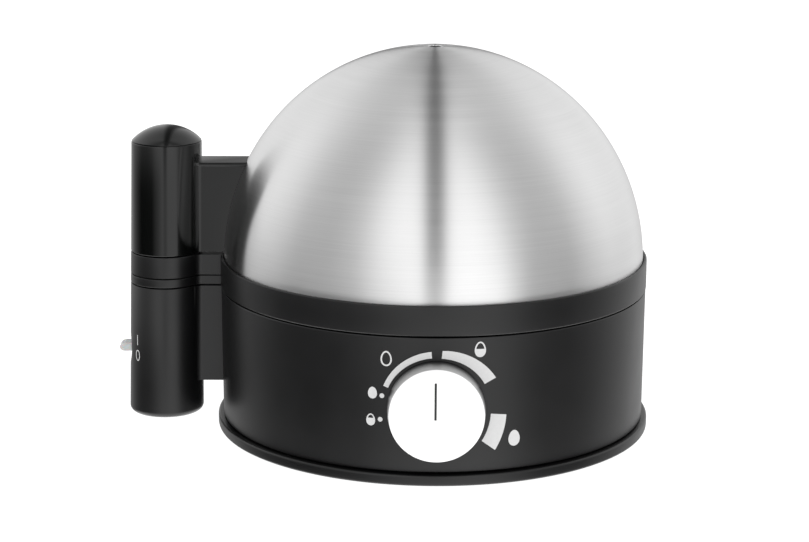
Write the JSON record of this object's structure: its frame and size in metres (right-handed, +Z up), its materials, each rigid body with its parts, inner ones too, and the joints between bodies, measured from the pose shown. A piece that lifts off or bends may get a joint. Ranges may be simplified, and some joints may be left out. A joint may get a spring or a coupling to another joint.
{
  "type": "egg cooker",
  "caption": "Round electric egg cooker: black base with a white dial and a side grip column, a lift-off egg carrier over a heated water pan, and a brushed steel dome with a steam hole.",
  "frame": {"origin": "centre of the bottom plate's flat underside, on the dome's axis; the rubber feet reach 2 mm below it", "axes": "+Z up along the dome's axis; -Y towards the control knob; -X towards the grip column"},
  "size_m": [0.2207, 0.1882, 0.1596],
  "materials": {
    "satin_black_plastic": "satin",
    "gloss_black_plastic": "polished",
    "brushed_steel": "brushed round the dome",
    "plain_steel": "plain",
    "cast_aluminium": "cast",
    "pan_coating": "dark non-stick coating",
    "knob_white_plastic": "satin white",
    "clear_white_plastic": "translucent white",
    "black_rubber": "matt",
    "red_silicone": "matt",
    "board_green": "lacquered",
    "grey_plastic": "moulded",
    "lead_insulation": "woven sleeve"
  },
  "bodies": {
    "base": {"base_shell": "satin_black_plastic", "bottom_plate": "satin_black_plastic", "foot_1": "black_rubber", "foot_2": "black_rubber", "foot_3": "black_rubber", "foot_4": "black_rubber", "plate_screw_1": "plain_steel", "plate_screw_2": "plain_steel", "plate_screw_3": "plain_steel", "plate_screw_4": "plain_steel", "deck": "satin_black_plastic", "deck_screw_1": "plain_steel", "deck_screw_2": "plain_steel", "deck_screw_3": "plain_steel", "deck_screw_4": "plain_steel", "cord_gland": "black_rubber", "heating_pan": "pan_coating", "pan_seal": "red_silicone", "heat_spreader": "cast_aluminium", "heating_element": "plain_steel", "element_terminal_1": "plain_steel", "element_terminal_2": "plain_steel", "clamp_bar": "plain_steel", "clamp_nut": "plain_steel", "clamp_screw_1": "plain_steel", "clamp_screw_2": "plain_steel", "thermostat": "satin_black_plastic", "thermal_fuse": "plain_steel", "control_board": "board_green", "power_relay": "satin_black_plastic", "filter_capacitor": "grey_plastic", "buzzer": "satin_black_plastic", "terminal_block": "grey_plastic", "regulator_case": "grey_plastic", "regulator_screw_1": "plain_steel", "regulator_screw_2": "plain_steel", "switch_case": "satin_black_plastic", "switch_pin": "plain_steel", "switch_blade_1": "plain_steel", "switch_blade_2": "plain_steel", "lead_supply": "lead_insulation", "lead_switched": "lead_insulation", "lead_heater_live": "lead_insulation", "lead_heater_return": "lead_insulation"},
    "knob": {"control_knob": "knob_white_plastic", "regulator_shaft": "plain_steel", "knob_clip": "plain_steel"},
    "toggle": {"switch_lever": "clear_white_plastic"},
    "carrier": {"egg_carrier": "satin_black_plastic"},
    "lid": {"lid_dome": "brushed_steel", "lid_handle": "gloss_black_plastic", "handle_cap": "gloss_black_plastic", "handle_screw_1": "plain_steel", "handle_screw_2": "plain_steel", "handle_washer_1": "plain_steel", "handle_washer_2": "plain_steel"}
  },
  "joints": [
    {"name": "knob_turn", "type": "hinge", "parent": "base", "child": "knob", "pos_m": [0, -0.0883, 0.0307], "axis": [0, 1, 0], "range_deg": [-100, 128]},
    {"name": "switch_toggle", "type": "hinge", "parent": "base", "child": "toggle", "pos_m": [-0.119, 0, 0.0314], "axis": [0, 1, 0], "range_deg": [0, 12]},
    {"name": "carrier_lift", "type": "slide", "parent": "base", "child": "carrier", "axis": [0, 0, 1], "range_m": [0, 0.08]},
    {"name": "lid_lift", "type": "slide", "parent": "carrier", "child": "lid", "axis": [0, 0, 1], "range_m": [0, 0.12]}
  ]
}
